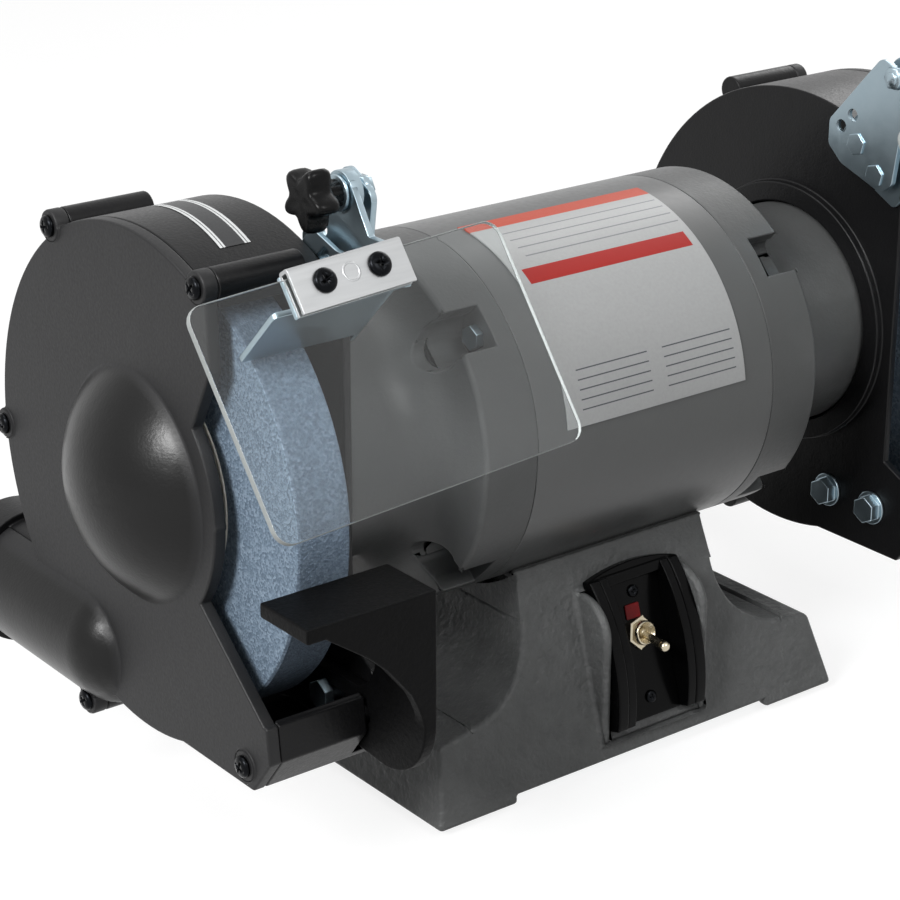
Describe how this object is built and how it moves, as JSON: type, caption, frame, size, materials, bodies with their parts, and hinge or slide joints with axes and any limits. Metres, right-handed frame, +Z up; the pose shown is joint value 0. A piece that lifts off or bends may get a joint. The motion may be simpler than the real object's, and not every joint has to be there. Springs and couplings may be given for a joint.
{
  "type": "bench grinder",
  "caption": "Bench grinder: a motor on a cast base turns a grinding wheel at each end, inside guards with clear eye shields, spark guards, tool rests and dust outlets.",
  "frame": {"origin": "on the bench plane under the middle of the motor, at the centre of the four bolt holes in the feet", "axes": "+X along the shaft to the operator's right, -Y towards the operator, +Z up"},
  "size_m": [0.5236, 0.3894, 0.3143],
  "materials": {
    "cast_paint": "satin grey paint on a cast skin",
    "shell_paint": "smooth satin grey paint",
    "plate_print": "printed satin plate",
    "guard_paint": "satin black paint",
    "rest_paint": "black paint on cast iron",
    "zinc_plate": "bright zinc plate",
    "turned_steel": "turned and ground",
    "black_steel": "black oxide",
    "core_steel": "stacked laminations",
    "copper": "enamelled wire",
    "insulating_board": "pressed board",
    "black_plastic": "moulded gloss",
    "switch_parts": "plated",
    "abrasive": "glass-bonded abrasive grit",
    "blotter_paper": "paper",
    "clamp_aluminium": "bright rolled",
    "clear_shield": "clear and polished",
    "rubber": "moulded",
    "blade_brass": "plated brass"
  },
  "bodies": {
    "housing": {"base_casting": "cast_paint", "end_bell_left": "cast_paint", "end_bell_right": "cast_paint", "motor_shell": "shell_paint", "nameplate": "plate_print", "guard_body_left": "guard_paint", "guard_body_right": "guard_paint", "guard_cover_left": "guard_paint", "guard_cover_right": "guard_paint", "bottom_plate": "zinc_plate", "saddle_bolts": "zinc_plate", "through_bolts": "zinc_plate", "bracket_bolts_left": "zinc_plate", "bracket_bolts_right": "zinc_plate", "shield_arm_left": "zinc_plate", "shield_arm_right": "zinc_plate", "rest_bolts_left": "zinc_plate", "rest_bolts_right": "zinc_plate", "bearing_outer_races": "turned_steel", "guard_screws_left": "black_steel", "guard_screws_right": "black_steel", "stator_core": "core_steel", "stator_windings": "copper", "start_contacts": "insulating_board", "capacitor": "black_plastic", "switch_shroud": "black_plastic", "switch_body": "switch_parts", "rubber_feet": "rubber", "strain_relief": "rubber", "cord_lead": "rubber", "cord_coil": "rubber", "cord_tail": "rubber", "plug_body": "rubber", "plug_blades": "blade_brass"},
    "rotor": {"shaft": "turned_steel", "rotor_core": "core_steel", "bearing_inner_races": "turned_steel", "start_governor": "insulating_board", "blotters": "blotter_paper", "wheel_left": "abrasive", "wheel_right": "abrasive", "inner_flange_left": "turned_steel", "inner_flange_right": "turned_steel", "outer_flange_left": "turned_steel", "outer_flange_right": "turned_steel", "arbor_nut_left": "turned_steel", "arbor_nut_right": "turned_steel"},
    "toggle": {"toggle_lever": "switch_parts"},
    "spark_guard_left": {"spark_guard_left": "zinc_plate"},
    "shield_left": {"shield_hinge_left": "zinc_plate", "shield_lens_left": "clear_shield", "shield_clamp_left": "clamp_aluminium"},
    "knob_left": {"shield_knob_left": "black_plastic"},
    "tool_rest_left": {"tool_rest_left": "rest_paint"},
    "spark_guard_right": {"spark_guard_right": "zinc_plate"},
    "shield_right": {"shield_hinge_right": "zinc_plate", "shield_lens_right": "clear_shield", "shield_clamp_right": "clamp_aluminium"},
    "knob_right": {"shield_knob_right": "black_plastic"},
    "tool_rest_right": {"tool_rest_right": "rest_paint"}
  },
  "joints": [
    {"name": "rotor_spin", "type": "hinge", "parent": "housing", "child": "rotor", "pos_m": [0, 0, 0.168], "axis": [1, 0, 0], "continuous": true},
    {"name": "toggle_throw", "type": "hinge", "parent": "housing", "child": "toggle", "pos_m": [0.0065, -0.06899, 0.05917], "axis": [-1, 0, 0], "range_deg": [0, 44]},
    {"name": "shield_tilt_left", "type": "hinge", "parent": "housing", "child": "shield_left", "pos_m": [0, -0.071, 0.301], "axis": [-1, 0, 0], "range_deg": [-4, 75]},
    {"name": "knob_turn_left", "type": "hinge", "parent": "housing", "child": "knob_left", "pos_m": [0, -0.071, 0.301], "axis": [1, 0, 0], "continuous": true},
    {"name": "tool_rest_slide_left", "type": "slide", "parent": "housing", "child": "tool_rest_left", "axis": [0, 1, 0], "range_m": [-0.012, 0.001]},
    {"name": "spark_guard_slide_left", "type": "slide", "parent": "housing", "child": "spark_guard_left", "axis": [0, -0.7009, 0.7133], "range_m": [0, 0.005]},
    {"name": "shield_tilt_right", "type": "hinge", "parent": "housing", "child": "shield_right", "pos_m": [0, -0.071, 0.301], "axis": [-1, 0, 0], "range_deg": [-4, 75]},
    {"name": "knob_turn_right", "type": "hinge", "parent": "housing", "child": "knob_right", "pos_m": [0, -0.071, 0.301], "axis": [1, 0, 0], "continuous": true},
    {"name": "tool_rest_slide_right", "type": "slide", "parent": "housing", "child": "tool_rest_right", "axis": [0, 1, 0], "range_m": [-0.012, 0.001]},
    {"name": "spark_guard_slide_right", "type": "slide", "parent": "housing", "child": "spark_guard_right", "axis": [0, -0.7009, 0.7133], "range_m": [0, 0.005]}
  ]
}
